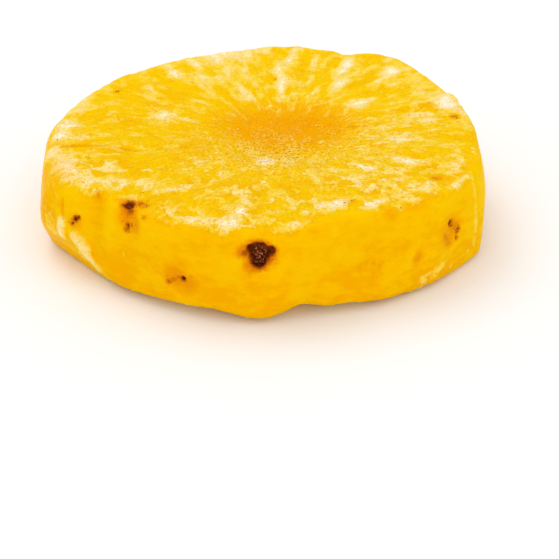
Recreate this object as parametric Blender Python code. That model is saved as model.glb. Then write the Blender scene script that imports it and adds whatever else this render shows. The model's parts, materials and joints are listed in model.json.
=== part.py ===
"""Candied pineapple slice: one thick round cut across the fruit and kept whole, core and all.

The rind was shaved off with a knife, so the wall is a ring of soft lobes and flat cuts. The top is
a shallow dish with fibres running out from a sunken core, and the wall keeps the small pits of the
fruit's eyes. The slice lies flat on its underside.

Angles are in degrees from +X towards +Y, and +Y is the far side. Lengths here are millimetres.
"""

import math

import bmesh
import bpy

MM = 0.001  # metres in a millimetre

# The round as a whole
RADIUS = 43.6  # mean radius of the top edge
THICKNESS = 19.4  # from the underside to the top edge
LOWER_RADIUS = 43.9  # mean radius of the lower edge
CORE_PLACE = (2.1, 2.8)  # centre of the core, off the middle of the slice
CORE_RADIUS = 15.0
CORE_SINK = 1.8  # step down from the flesh to the core
DISH_DEPTH = 1.8  # fall of the flesh from the rim to the core

# The two edges
EDGE_ROUND = 1.2  # radius of the top edge
SOFT_EDGE = (176, 30, 2.6)  # angle, half width and extra radius where the edge has slumped
LOWER_ROUND = 1.6  # radius of the lower edge
FLAT_RADIUS = 34.0  # the underside is flat out to here
EDGE_LIFT = 0.7  # the lower edge curls up this far off the ground

# Swells and hollows of an outline: angle, half width in degrees, height in millimetres
TOP_LOBES = (
    (56, 13, 4.2), (73, 4, 0.7), (87, 8, 2.3), (150, 16, 0.6), (173, 9, 0.9), (192, 24, 2.3),
    (243, 8, 1.0), (258, 14, 0.9), (272, 5, 0.8), (336, 14, 1.0), (66.5, 3, -2.4), (122, 30, -1.0),
    (12, 18, -1.1), (196, 9, -1.0), (221.5, 3, -3.2), (293, 8, -2.6), (303, 9, -1.6),
    (352, 12, -1.0),
)
LOWER_LOBES = (
    (202, 20, 2.6), (334, 16, 2.4), (258, 16, 0.8), (268, 6, 0.8), (280, 4, -0.9), (318, 4, 1.2),
    (322, 3, -0.7), (60, 20, 1.4), (90, 10, -1.0), (125, 12, 1.2), (160, 14, -0.8),
)
LIFT_LOBES = (
    (243, 13, 1.0), (255, 7, 0.9), (278, 5, 2.0), (290, 9, 0.9), (205, 14, -0.7), (333, 13, -0.7), (30, 9, 1.1),
    (101, 7, 1.5), (150, 16, 0.6),
)

# Bulges of the wall: angle, half width, height of the middle, half height, size outwards
BULGES = (
    (206, 17, 10.6, 7.6, 3.4), (341, 15, 10.5, 9.0, 1.3), (262, 22, 9.0, 8.0, 0.6),
    (302, 15, 11.0, 8.0, 1.6), (20, 20, 9.0, 8.0, 1.3), (74, 12, 10.5, 7.0, 1.2),
    (112, 16, 8.5, 7.0, 1.8), (150, 14, 10.0, 7.5, 1.4),
)
# Flat cuts of the knife: direction faced, tilt downwards, distance from the middle at half height
KNIFE_CUTS = (
    (219, 30, 48.0), (322, 3, 45.2), (353, 2, 44.7), (237, 0, 45.4), (287, 6, 44.4),
    (36, 6, 45.0), (97, 10, 44.0), (133, 5, 43.4), (168, 12, 46.6),
)
KNIFE_EDGE = 0.8  # how far the edge of a cut is softened
# Creases up the wall: angle, half width in degrees, lowest and highest height, depth
CREASES = ((207, 2.2, 3.0, 14.5, 1.3), (88, 2.5, 2.0, 16.0, 1.0), (131, 2.0, 5.0, 15.0, 0.8))

# Eyes of the fruit in the near half of the wall: angle, drop below the top edge, radius, depth
EYES = (
    (267.4, 4.4, 3.2, 1.9), (232.7, 0.9, 3.2, 1.2), (232.4, 4.2, 2.6, 0.8),
    (216.2, 6.6, 2.4, 0.9), (248.3, 11.6, 3.4, 0.9), (323.5, 8.0, 3.8, 1.1),
    (310.9, 12.3, 3.0, 0.7), (296.5, 11.1, 3.0, 0.6),
)
# The far half carries the same rows of eyes, a step apart and by turns high and low
FAR_EYES_FROM = 4
FAR_EYES_STEP = 22.5
FAR_EYES = 9
FAR_DROPS = (6.6, 12.2)
FAR_DEPTHS = (1.0, 1.7, 0.7)
FAR_EYE_RADIUS = 3.2

# Fibres: bundles around the core and how deep the furrows between them are
FIBRE_BUNDLES = ((17, 0.6, 0.15), (29, 2.1, 0.12), (41, 4.0, 0.09))  # count, phase, depth
UNDER_CORE_SINK = 1.2  # the core is sunk on the underside as well
UNDER_FURROWS = ((13, 1.0, 0.5), (23, 3.0, 0.4))  # count, phase, depth
UNDER_LANDS = 0.15  # furrows shallower than this are pressed flat
UNDER_FURROWS_END = 29.0  # and all are from here out

# The mesh: segments around, and the rings of each zone
SEGMENTS = 192
TOP_RINGS = ((0.12, 4), (0.24, 4), (0.33, 2), (0.41, 2), (0.49, 2), (0.57, 2), (0.65, 1),
             (0.73, 1), (0.81, 1), (0.88, 1), (0.94, 1), (0.98, 1))  # fraction, segments skipped
EDGE_STEPS = 4
WALL_STEPS = 9
LOWER_STEPS = 3
UNDER_RINGS = ((0.97, 1), (0.90, 1), (0.80, 2), (0.72, 2), (0.62, 2), (0.52, 2), (0.42, 2),
               (0.33, 4), (0.24, 4), (0.12, 8))

FLESH_COLOUR = (0.93, 0.52, 0.02, 1.0)


def swell(angle, centre, half_width):
    """A smooth hump, 1 at its centre."""
    apart = (angle - centre + 180) % 360 - 180
    return math.exp(-((apart / half_width) ** 2))


def lobed(angle, mean, lobes):
    return mean + sum(size * swell(angle, at, width) for at, width, size in lobes)


def ease(low, high, value):
    """0 below low, 1 above high, and a smooth step between."""
    part = min(max((value - low) / (high - low), 0.0), 1.0)
    return part * part * (3 - 2 * part)


def lesser(first, second, blend):
    """The smaller of two lengths, rounded over where they are nearly the same."""
    near = max(blend - abs(first - second), 0.0) / blend
    return min(first, second) - near * near * blend / 4


def edge_round(angle):
    at, width, extra = SOFT_EDGE
    return EDGE_ROUND + extra * swell(angle, at, width)


def top_height(x, y):
    """Height of the top surface: the dish, the sunken core and the fibres."""
    out = math.hypot(x - CORE_PLACE[0], y - CORE_PLACE[1])
    around = math.atan2(y - CORE_PLACE[1], x - CORE_PLACE[0])
    dish = DISH_DEPTH * (1 - ease(CORE_RADIUS * 0.6, RADIUS * 0.95, out))
    core = CORE_SINK * (1 - ease(CORE_RADIUS * 0.62, CORE_RADIUS * 1.1, out))
    fibres = sum(
        depth * math.sin(count * around + phase + 0.04 * out) for count, phase, depth in FIBRE_BUNDLES
    )
    reach = ease(CORE_RADIUS * 0.7, CORE_RADIUS * 1.4, out) * (1 - ease(RADIUS * 0.86, RADIUS, out))
    return THICKNESS - dish - core + fibres * reach


def under_height(x, y, angle, lower_radius):
    """Height of the underside: flat, with a sunken core, furrows and a rim that curls up a little."""
    out = math.hypot(x, y)
    core_out = math.hypot(x - CORE_PLACE[0], y - CORE_PLACE[1])
    core = UNDER_CORE_SINK * (1 - ease(CORE_RADIUS * 0.5, CORE_RADIUS, core_out))
    turn = math.radians(angle)
    furrows = sum(depth * math.sin(count * turn + phase) for count, phase, depth in UNDER_FURROWS)
    reach = ease(CORE_RADIUS * 0.6, CORE_RADIUS * 1.2, out)
    reach *= 1 - ease(UNDER_FURROWS_END - 6, UNDER_FURROWS_END, out)
    lift = max(lobed(angle, EDGE_LIFT, LIFT_LOBES), 0.0)
    curl = lift * ease(FLAT_RADIUS, lower_radius, out)
    return core + max(furrows - UNDER_LANDS, 0.0) * reach + curl


def wall_radius(angle, height):
    """Distance of the wall from the middle at a height, shaved by the knife but with no eyes."""
    rise = ease(0, THICKNESS, height)
    top = lobed(angle, RADIUS, TOP_LOBES)
    low = lobed(angle, LOWER_RADIUS, LOWER_LOBES)
    radius = low + (top - low) * rise
    for at, width, middle, half_height, size in BULGES:
        radius += size * swell(angle, at, width) * math.exp(-(((height - middle) / half_height) ** 4))
    for at, width, lowest, highest, depth in CREASES:
        along = ease(lowest - 2, lowest + 1, height) * (1 - ease(highest - 1, highest + 2, height))
        radius -= depth * swell(angle, at, width) * along
    for faces, tilt, distance in KNIFE_CUTS:
        facing = math.cos(math.radians(angle - faces))
        if facing > 0.5:
            plane = (distance + (height - THICKNESS / 2) * math.tan(math.radians(tilt))) / facing
            radius = lesser(radius, plane, KNIFE_EDGE)
    return radius


def eye_places():
    """Centre on the wall, inward direction, radius and depth of every eye."""
    eyes = list(EYES)
    for i in range(FAR_EYES):
        angle = FAR_EYES_FROM + FAR_EYES_STEP * i
        eyes.append((angle, FAR_DROPS[i % 2], FAR_EYE_RADIUS, FAR_DEPTHS[i % 3]))
    for angle, drop, radius, depth in eyes:
        height = THICKNESS - drop
        out = math.cos(math.radians(angle)), math.sin(math.radians(angle))
        reach = wall_radius(angle, height)
        yield (reach * out[0], reach * out[1], height), out, radius, depth


def pitted(point, eyes):
    """The point pushed inwards where it lies in an eye."""
    x, y, z = point
    for centre, out, radius, depth in eyes:
        away = math.dist(point, centre) / radius
        if away < 1:
            push = depth * (1 - away * away) ** 2
            x -= push * out[0]
            y -= push * out[1]
    return x, y, z


def profile(angle):
    """Points of one cut from the middle of the top, over the edge and down to the middle below."""
    turn = math.radians(angle)
    along = math.cos(turn), math.sin(turn)
    soft = edge_round(angle)
    top_reach = wall_radius(angle, THICKNESS) - soft
    lift = max(lobed(angle, EDGE_LIFT, LIFT_LOBES), 0.0)
    points = []
    for fraction, _ in TOP_RINGS:
        x, y = (fraction * top_reach * part for part in along)
        points.append((x, y, top_height(x, y)))
    rim = top_height(top_reach * along[0], top_reach * along[1])
    for i in range(EDGE_STEPS + 1):
        bend = math.pi / 2 * i / EDGE_STEPS
        height = rim - soft * (1 - math.cos(bend))
        reach = top_reach + (wall_radius(angle, height) - top_reach) * math.sin(bend)
        points.append((reach * along[0], reach * along[1], height))
    foot = lift + LOWER_ROUND
    for i in range(1, WALL_STEPS + 1):
        height = rim - soft + (foot - rim + soft) * i / WALL_STEPS
        reach = wall_radius(angle, height)
        points.append((reach * along[0], reach * along[1], height))
    foot_reach = wall_radius(angle, foot)
    under_reach = foot_reach - LOWER_ROUND
    for i in range(1, LOWER_STEPS + 1):
        bend = math.pi / 2 * i / LOWER_STEPS
        reach = under_reach + (foot_reach - under_reach) * math.cos(bend)
        points.append((reach * along[0], reach * along[1], foot - LOWER_ROUND * math.sin(bend)))
    for fraction, _ in UNDER_RINGS:
        x, y = (fraction * under_reach * part for part in along)
        points.append((x, y, under_height(x, y, angle, under_reach)))
    return points


def ring_skips():
    """How many segments lie between neighbouring points of each ring, top to bottom."""
    wall = [1] * (EDGE_STEPS + 1 + WALL_STEPS + LOWER_STEPS)
    return [skip for _, skip in TOP_RINGS] + wall + [skip for _, skip in UNDER_RINGS]


def join_rings(mesh, upper, lower):
    """Faces between two rings, where one may have twice the points of the other."""
    count = max(len(upper), len(lower))
    for i in range(min(len(upper), len(lower))):
        if len(upper) == len(lower):
            j = (i + 1) % count
            mesh.faces.new((upper[i], lower[i], lower[j], upper[j]))
            continue
        j, start = (i + 1) % (count // 2), 2 * i
        middle, end = start + 1, (start + 2) % count
        if len(upper) < len(lower):
            mesh.faces.new((upper[i], lower[start], lower[middle]))
            mesh.faces.new((upper[i], lower[middle], upper[j]))
            mesh.faces.new((upper[j], lower[middle], lower[end]))
        else:
            mesh.faces.new((upper[start], lower[i], upper[middle]))
            mesh.faces.new((upper[middle], lower[i], lower[j]))
            mesh.faces.new((upper[middle], lower[j], upper[end]))


def cap(mesh, ring, height, faces_up):
    """A fan from a ring to one point in the middle."""
    middle = mesh.verts.new((0, 0, height))
    for i, point in enumerate(ring):
        following = ring[(i + 1) % len(ring)]
        mesh.faces.new((middle, point, following) if faces_up else (middle, following, point))


def slice_mesh():
    """The whole solid as one closed mesh, with its lowest point at 0 and its box centred."""
    eyes = list(eye_places())
    mesh = bmesh.new()
    cuts = [profile(360 * i / SEGMENTS) for i in range(SEGMENTS)]
    rings = []
    for row, skip in enumerate(ring_skips()):
        picked = (cuts[i][row] for i in range(0, SEGMENTS, skip))
        rings.append([mesh.verts.new(pitted(point, eyes)) for point in picked])
    for upper, lower in zip(rings, rings[1:]):
        join_rings(mesh, upper, lower)
    cap(mesh, rings[0], top_height(0, 0), True)
    cap(mesh, rings[-1], under_height(0, 0, 0, LOWER_RADIUS), False)
    centre = [
        (min(v.co[axis] for v in mesh.verts) + max(v.co[axis] for v in mesh.verts)) / 2
        for axis in range(2)
    ]
    for vertex in mesh.verts:
        vertex.co.x = (vertex.co.x - centre[0]) * MM
        vertex.co.y = (vertex.co.y - centre[1]) * MM
        vertex.co.z *= MM
    bmesh.ops.recalc_face_normals(mesh, faces=mesh.faces)
    return mesh


def flesh_material():
    material = bpy.data.materials.new("candied_flesh")
    material.use_nodes = True
    shader = material.node_tree.nodes["Principled BSDF"]
    shader.inputs["Base Color"].default_value = FLESH_COLOUR
    shader.inputs["Roughness"].default_value = 0.3
    shader.inputs["Metallic"].default_value = 0.0
    return material


def make_slice():
    mesh = slice_mesh()
    data = bpy.data.meshes.new("pineapple_slice")
    mesh.to_mesh(data)
    mesh.free()
    data.shade_smooth()
    data.materials.append(flesh_material())
    piece = bpy.data.objects.new("pineapple_slice", data)
    bpy.context.scene.collection.objects.link(piece)


for old in list(bpy.data.objects):
    bpy.data.objects.remove(old)
make_slice()
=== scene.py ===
# %% [markdown]
# # A candied pineapple slice
#
# The real thing is one thick round of fruit, shaved of its rind, soaked in syrup until the flesh turns
# clear and golden, and then dried. Dry sugar blooms on the cut face in pale flakes, the core shrinks and
# darkens, and the pits of the eyes stay in the wall as brown marks. The solid model gives the form at its
# true size. This script adds what a solid can't carry: the grain of the flesh, the bloom and the marks.
#
# The first cell opens that model.

# %% Open the frame
import json
import math
from types import SimpleNamespace

import bmesh
import bpy
import numpy as np
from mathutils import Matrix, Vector

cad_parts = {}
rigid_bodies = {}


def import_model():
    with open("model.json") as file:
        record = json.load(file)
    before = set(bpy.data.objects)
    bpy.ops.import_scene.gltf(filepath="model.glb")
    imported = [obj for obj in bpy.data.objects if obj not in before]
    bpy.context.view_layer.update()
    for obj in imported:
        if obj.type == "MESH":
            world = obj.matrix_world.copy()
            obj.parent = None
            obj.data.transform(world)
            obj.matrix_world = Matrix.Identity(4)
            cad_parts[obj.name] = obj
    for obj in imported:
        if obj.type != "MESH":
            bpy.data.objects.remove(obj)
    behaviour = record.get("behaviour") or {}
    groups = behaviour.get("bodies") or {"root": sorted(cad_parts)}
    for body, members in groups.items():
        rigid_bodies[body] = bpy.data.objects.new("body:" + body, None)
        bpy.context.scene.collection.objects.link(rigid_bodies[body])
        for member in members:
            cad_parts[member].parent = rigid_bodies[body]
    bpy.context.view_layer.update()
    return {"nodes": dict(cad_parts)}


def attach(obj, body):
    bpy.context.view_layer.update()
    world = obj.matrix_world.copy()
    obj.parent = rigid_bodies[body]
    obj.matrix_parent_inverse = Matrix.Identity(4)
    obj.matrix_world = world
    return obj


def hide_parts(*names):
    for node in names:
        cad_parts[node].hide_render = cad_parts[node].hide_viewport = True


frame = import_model()
solid = frame["nodes"]["pineapple_slice"]

# %% [markdown]
# ## Sizes
#
# A lesson reads better when its numbers have names. Places on the slice are in millimetres from the
# frame's origin, since that is how one would measure a real slice with a ruler: x to the right, y to the
# far side, z up. Tables of places stand with the step that uses them.

# %% Sizes
MM = 0.001  # metres in a millimetre
MIDDLE = (0.9, 0.0)  # middle of the round, a little off the middle of its box
CORE = (3.0, 2.8)  # middle of the core
CORE_RADIUS = 15.0
TOP_EDGE = 19.4  # height of the top edge
print("core:", 2 * CORE_RADIUS, "mm across, top edge:", TOP_EDGE, "mm up")

# %% [markdown]
# ## Sums written as sums
#
# Shaders and Geometry Nodes share most of their maths nodes. One small class wraps a socket, so that an
# expression such as `1 - mask * 0.5` adds its Math nodes by itself. It works in both kinds of tree, which
# lets the relief and the colour follow one and the same rule.

# %% Readings
class Reading:
    """One output of a node. Arithmetic on it adds Math nodes to its tree."""

    def __init__(self, bench, socket):
        self.bench, self.socket = bench, socket

    def feed(self, socket):
        """Link this output to a socket that is already there."""
        self.bench.tree.links.new(self.socket, socket)

    def math(self, operation, *others):
        return self.bench.add("ShaderNodeMath", {"operation": operation}, dict(enumerate((self, *others))))

    def __add__(self, other):
        return self.math("ADD", other)

    def __sub__(self, other):
        return self.math("SUBTRACT", other)

    def __rsub__(self, other):
        return (self * -1) + other

    def __mul__(self, other):
        return self.math("MULTIPLY", other)

    def __truediv__(self, other):
        return self.math("DIVIDE", other)

    __radd__ = __add__
    __rmul__ = __mul__


print("a reading knows these sums:", [name for name in vars(Reading) if name.startswith("__r")])

# %% [markdown]
# ### The bench
#
# Every node comes from one method, which takes a node's type, its settings and its inputs. The few that
# this slice needs over and over get a short name of their own.

# %% Benches
class Bench:
    """A node tree under construction."""

    def __init__(self, tree):
        self.tree = tree

    def find(self, sockets, key):
        """A socket by its number, its identifier or its name."""
        if isinstance(key, int):
            return sockets[key]
        return next(s for s in sockets if key in (s.identifier, s.name))

    def add(self, kind, settings=None, values=None, out=0):
        """A node of that kind: its settings first, then its inputs, each a number or a Reading."""
        node = self.tree.nodes.new(kind)
        for name, value in (settings or {}).items():
            setattr(node, name, value)
        for key, value in (values or {}).items():
            socket = self.find(node.inputs, key)
            if isinstance(value, Reading):
                value.feed(socket)
            else:
                socket.default_value = value
        return Reading(self, self.find(node.outputs, out))

    def ease(self, low, high, value):
        """0 at low, 1 at high, and a smooth step between."""
        values = {"Value": value, "From Min": low, "From Max": high}
        return self.add("ShaderNodeMapRange", {"interpolation_type": "SMOOTHSTEP"}, values)

    def noise(self, place, scale, detail=2.0, roughness=0.5, out=0):
        values = {"Vector": place, "Scale": scale, "Detail": detail, "Roughness": roughness}
        return self.add("ShaderNodeTexNoise", {}, values, out)

    def ripple(self, place, scale, detail=2.0, roughness=0.5):
        """Noise about 0, from -0.5 to 0.5."""
        return self.noise(place, scale, detail, roughness) - 0.5

    def blend(self, share, first, second):
        values = {"Factor_Float": share, "A_Color": first, "B_Color": second}
        settings = {"data_type": "RGBA", "clamp_factor": True}
        return self.add("ShaderNodeMix", settings, values, out="Result_Color")

    def vector(self, x, y, z):
        return self.add("ShaderNodeCombineXYZ", {}, {0: x, 1: y, 2: z})

    def axes(self, place):
        """The x, y and z of a place."""
        parts = self.add("ShaderNodeSeparateXYZ", {}, {0: place}).socket.node.outputs
        return [Reading(self, part) for part in parts]

    def scaled(self, place, factor):
        return self.add("ShaderNodeVectorMath", {"operation": "SCALE"}, {0: place, "Scale": factor})

    def shifted(self, place, step):
        return self.add("ShaderNodeVectorMath", {"operation": "ADD"}, {0: place, 1: step})


print("a bench has", len([name for name in vars(Bench) if not name.startswith("_")]), "methods")

# %% [markdown]
# ## The fine mesh
#
# The solid has flat facets a millimetre or two wide. A copy is sewn together, smoothed by subdivision and
# then rebuilt by a voxel remesh, which covers it with even little squares. Fine relief needs that: on
# stretched faces it would turn into combs. The modifiers are applied by making a mesh from the evaluated
# object.

# %% Fine mesh
SAME_CORNER = 1e-6  # metres within which two corners are one
SMOOTHING = 2  # how many times the facets are divided
VOXEL = 0.46  # side of a square of the fine mesh


def linked(name, data):
    """A new object in the scene."""
    piece = bpy.data.objects.new(name, data)
    bpy.context.scene.collection.objects.link(piece)
    return piece


def applied(piece):
    """The piece with its modifiers made part of its mesh."""
    graph = bpy.context.evaluated_depsgraph_get()
    mesh = bpy.data.meshes.new_from_object(piece.evaluated_get(graph))
    piece.modifiers.clear()
    piece.data = mesh
    mesh.shade_smooth()
    return piece


def sewn_copy(node, name):
    """A copy without double corners, in which pairs of triangles become faces with four sides."""
    sewn = bmesh.new()
    sewn.from_mesh(node.data)
    bmesh.ops.remove_doubles(sewn, verts=sewn.verts, dist=SAME_CORNER)
    bmesh.ops.join_triangles(sewn, faces=sewn.faces, angle_face_threshold=1.0, angle_shape_threshold=1.5)
    mesh = bpy.data.meshes.new(name)
    sewn.to_mesh(mesh)
    sewn.free()
    return linked(name, mesh)


flesh = sewn_copy(solid, "candied_slice")
smoothing = flesh.modifiers.new("Smooth", "SUBSURF")
smoothing.levels = smoothing.render_levels = SMOOTHING
remesh = flesh.modifiers.new("Even grain", "REMESH")
remesh.mode = "VOXEL"
remesh.voxel_size = VOXEL * MM
applied(flesh)
print("fine mesh:", len(flesh.data.vertices), "points")

# %% [markdown]
# ## Where the bloom and the marks lie
#
# Each point of the mesh gets a few soft values: how near it is to a patch of bloom or a painted highlight,
# to a dark speck, or to a stain or painted shade. They are stored as attributes. Relief and colour both
# read them and fray their edges with noise, so the crumbly outline of a patch is drawn far finer than the
# mesh is.

# %% Soft maps
def read(mesh, what, size=3):
    values = np.empty(len(mesh.vertices) * size, np.float32)
    mesh.vertices.foreach_get(what, values)
    return values.reshape(-1, size)


def store(mesh, name, values):
    layer = mesh.attributes.new(name, "FLOAT", "POINT")
    layer.data.foreach_set("value", np.ascontiguousarray(values, np.float32))


def smooth_step(low, high, value):
    part = np.clip((value - low) / (high - low), 0, 1)
    return part * part * (3 - 2 * part)


def spread(distance, reach):
    """1 where the distance is 0, fading softly over the reach."""
    return np.exp(-((distance / reach) ** 2))


def strongest(spots):
    """The strongest of some soft spots at each point: distance, reach and strength."""
    level = np.zeros(len(points))
    for away, reach, strength in spots:
        level = np.maximum(level, strength * spread(away, reach))
    return level


points = read(flesh.data, "co") / MM
upward = read(flesh.data, "normal")[:, 2]
along_x, along_y, height = points.T
radius = np.hypot(along_x - MIDDLE[0], along_y - MIDDLE[1])
direction = np.degrees(np.arctan2(along_y - MIDDLE[1], along_x - MIDDLE[0])) % 360
print("points:", len(points), "farthest out:", round(float(radius.max()), 1), "mm")

# %% [markdown]
# ### Measuring on the slice
#
# A mark is placed as with a ruler, by how far each point is from it. On the wall a direction and a drop
# below the top edge say more than x and y do. The far side repeats the two rows of eyes by a rule, in
# which a few sizes and tones take turns.

# %% Ways to measure, and the eyes of the far side
DEGREES = 57.3  # in a radian
WALL_FROM = 34.0  # radius beyond which a point can belong to the wall
OUT_OF_REACH = 50.0  # added to the distance of points that can't be chosen
FIRST_EYE = 4.0  # its direction in degrees
EYE_STEP = 22.5  # degrees from one eye to the next
EYE_COUNT = 9
EYE_DROPS = (6.2, 12.6)  # how far the two rows lie below the top edge
STAGGER = 0.5  # step by which the eyes of a row hang lower or higher
EYE_SIZES = (0.9, 1.6, 0.7, 1.2)
EYE_TONES = (0.8, 1.0, 0.45)


def away_from(place):
    return np.linalg.norm(points - place, axis=1)


def away_from_line(first, last):
    way = np.subtract(last, first)
    along = np.clip((points - first) @ way / (way @ way), 0, 1)
    return np.linalg.norm(points - first - along[:, None] * way, axis=1)


def turned_from(at):
    """How far each point is turned from a direction, from -180 to 180 degrees."""
    return (direction - at + 180) % 360 - 180


def wall_place(at, below):
    """The point of the wall in a direction and so far below the top edge."""
    aside = np.abs(turned_from(at)) * radius / DEGREES
    away = aside + np.abs(TOP_EDGE - height - below)
    return points[np.argmin(away + np.where(radius > WALL_FROM, 0, OUT_OF_REACH))]


def far_eye(number):
    """Its x, y, z, size and darkness."""
    below = EYE_DROPS[number % 2] + (number * 5 % 4) * STAGGER
    place = wall_place(FIRST_EYE + EYE_STEP * number, below)
    return (*place, EYE_SIZES[number % 4], EYE_TONES[number % 3])


far_eyes = [far_eye(number) for number in range(EYE_COUNT)]
print("the first far eye lies at", [round(float(c), 1) for c in far_eyes[0][:3]])

# %% [markdown]
# ### Bloom
#
# A patch of bloom is a soft spot that is longer along the fibres than across them. It could be painted by
# hand on a texture. Written as a row of numbers, each patch can be moved with a ruler instead. Sheets
# cover a whole sector thinly, and lines follow the dry flats of the wall and lay painted highlight along
# its edges.

# %% Places of the bloom
# Patches of dry sugar: x, y, half length along the fibres, half width, and strength (clear below 0)
BLOOM = (
    (-15.5, 34.0, 3.6, 1.2, 1.2), (-13.5, 28.0, 3.0, 1.1, 0.8), (-19.5, 28.8, 3.0, 1.4, 1.4),
    (-23.9, 18.5, 2.4, 1.6, 0.6), (-4.6, 30.0, 4.0, 1.2, 1.0), (-4.6, 22.0, 4.0, 1.0, 0.9),
    (2.5, 31.4, 5.0, 1.2, 1.1), (3.4, 22.2, 5.0, 1.0, 0.9), (0.8, 18.3, 2.0, 0.9, 0.8),
    (5.6, 36.7, 2.4, 1.6, 1.3), (10.5, 36.2, 3.5, 1.1, 0.9), (17.5, 33.8, 4.5, 1.6, 1.9),
    (15.8, 24.5, 4.8, 1.3, 1.5), (27.0, 30.0, 3.0, 2.4, 1.6), (24.8, 25.0, 2.0, 1.6, 0.8),
    (20.1, 15.4, 2.6, 1.8, 1.5), (38.3, 13.0, 2.1, 2.6, 1.9), (41.5, 8.0, 1.4, 2.4, 0.8),
    (34.7, 5.9, 2.0, 1.4, 0.8), (0.5, -8.4, 3.2, 2.2, 2.2), (4.8, -7.6, 3.0, 1.4, 0.8),
    (-2.8, -3.4, 2.4, 1.6, 0.6), (20.0, -15.5, 3.8, 1.2, 1.5), (28.0, -2.6, 4.0, 1.4, 1.0),
    (28.6, -13.4, 4.5, 1.4, 1.1), (-21.6, 8.4, 2.2, 1.8, 1.5), (-16.6, 7.9, 2.4, 1.2, 0.6),
    (-39.9, 2.5, 1.8, 2.6, 0.8), (-39.2, -16.0, 2.0, 4.0, 0.8), (-34.6, -23.6, 2.0, 2.6, 0.95),
    (-41.5, -2.1, 1.4, 3.0, 0.8), (-28.2, -23.1, 2.4, 4.0, 0.65), (-17.9, -25.8, 3.0, 2.0, 0.5),
    (13.8, -32.6, 1.8, 3.8, 1.4), (20.9, -32.2, 1.2, 3.4, 0.9), (31.4, -26.2, 1.8, 2.6, 1.2),
    (27.9, -27.0, 1.6, 1.6, 0.8), (37.3, -24.5, 1.4, 2.0, 0.7), (-6.4, -41.0, 2.2, 3.2, 1.15),
    (-2.4, -42.8, 1.0, 3.2, -0.6), (-3.6, -30.5, 5.0, 0.8, 0.9), (-4.6, -36.6, 3.4, 1.4, 1.0),
    (5.8, -41.4, 1.8, 1.8, 1.0), (-11.8, -40.4, 1.6, 2.0, 0.7), (-20.2, -37.0, 1.8, 2.4, 0.8),
)
# Sheets of thin bloom: direction, half width in degrees, inner and outer radius, strength
SHEETS = (
    (268, 45, 33, 45, 0.22), (192, 26, 35, 50, 0.36), (0, 42, 18, 43, 0.22), (85, 45, 17, 45, 0.17),
    (150, 40, 20, 45, 0.1), (150, 45, 41, 47, 0.5), (30, 30, 42, 47, 0.3), (330, 60, 12, 34, 0.12),
    (105, 13, 38, 46, 0.95),
)
# Dry flats of the wall, and painted highlight along its edges such as the right ridge and the lower right
# edge: from one point to another, with a half width and a strength
DRY_AND_HIGHLIT_LINES = (
    ((-37.0, -28.0, 9.6), (-33.2, -28.8, 3.2), 2.2, 1.8),
    ((-36.7, -26.6, 6.4), (-35.6, -26.0, 4.0), 1.1, 1.2),
    ((-39.8, -25.7, 12.0), (-40.0, -24.4, 8.4), 1.5, 2.1),
    ((-41.9, -18.0, 18.1), (-40.7, -22.8, 16.0), 0.5, 1.1),
    # The next four lines, down the right ridge and along the lower right edge, are painted highlight.
    ((41.2, -20.2, 18.6), (41.5, -21.2, 13.0), 1.4, 0.95),
    ((41.5, -21.2, 13.0), (41.8, -20.6, 4.0), 1.3, 0.9),
    ((41.8, -20.6, 4.0), (36.6, -27.1, 2.6), 1.2, 0.85),
    ((31.4, -33.0, 3.0), (35.0, -29.4, 4.4), 2.1, 1.15),
    ((35.4, -26.7, 19.2), (41.6, -17.8, 19.2), 0.6, 0.7),
    ((-43.2, -18.6, 17.0), (-42.4, -21.6, 8.0), 3.4, 1.15),
    ((-44.4, -8.4, 17.0), (-43.4, -14.4, 7.0), 3.8, 0.95),
    ((-31.0, -30.3, 13.2), (-30.2, -32.2, 11.0), 0.5, 0.85),
    ((-27.2, -34.6, 10.2), (-26.3, -35.1, 8.2), 0.5, 0.85),
    ((-41.0, -14.0, 18.6), (-38.4, -21.0, 18.9), 2.4, 0.3),
)
print("patches:", len(BLOOM), "sheets:", len(SHEETS), "lines:", len(DRY_AND_HIGHLIT_LINES))

# %% [markdown]
# ### The bloom laid on
#
# Patches and sheets add up, because sugar that dries on sugar is thicker. Among the lines the strongest
# wins, so that their joints don't show as blobs.

# %% Bloom
FADE_IN = (-4.0, 3.0)  # a sheet starts softly, between these distances from its inner radius
FADE_OUT = (3.0, -3.0)  # and ends between these from its outer radius


def patch(x, y, along, across, strength):
    """A spot stretched along the fibres, which run outwards from the core."""
    fibre = np.array([x - CORE[0], y - CORE[1]])
    fibre /= np.linalg.norm(fibre)
    offset = points[:, :2] - (x, y)
    lengthwise, crosswise = offset @ fibre, offset @ np.array([-fibre[1], fibre[0]])
    return strength * spread(lengthwise, along) * spread(crosswise, across) * (upward > 0.1)


def sheet(at, wide, inner, outer, strength):
    """A sector of a ring, on whatever looks up."""
    band = smooth_step(inner + FADE_IN[0], inner + FADE_IN[1], radius)
    band = band * smooth_step(outer + FADE_OUT[0], outer + FADE_OUT[1], radius)
    return strength * spread(turned_from(at), wide) * band * smooth_step(0.2, 0.7, upward)


bloom = np.zeros(len(points))
for row in BLOOM:
    bloom += patch(*row)
for row in SHEETS:
    bloom += sheet(*row)
# The lines bring painted highlight along the wall's edges into the bloom, besides dry flats.
bloom += strongest((away_from_line(first, last), wide, level) for first, last, wide, level in DRY_AND_HIGHLIT_LINES)
store(flesh.data, "bloom", bloom)
print("the bloom covers", round(float((bloom > 0.5).mean() * 100)), "% of the surface")

# %% [markdown]
# ### Cracks
#
# The dry skin splits in a few fine lines. They are stored about twice as wide as they are, since noise
# eats into them later.

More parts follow.
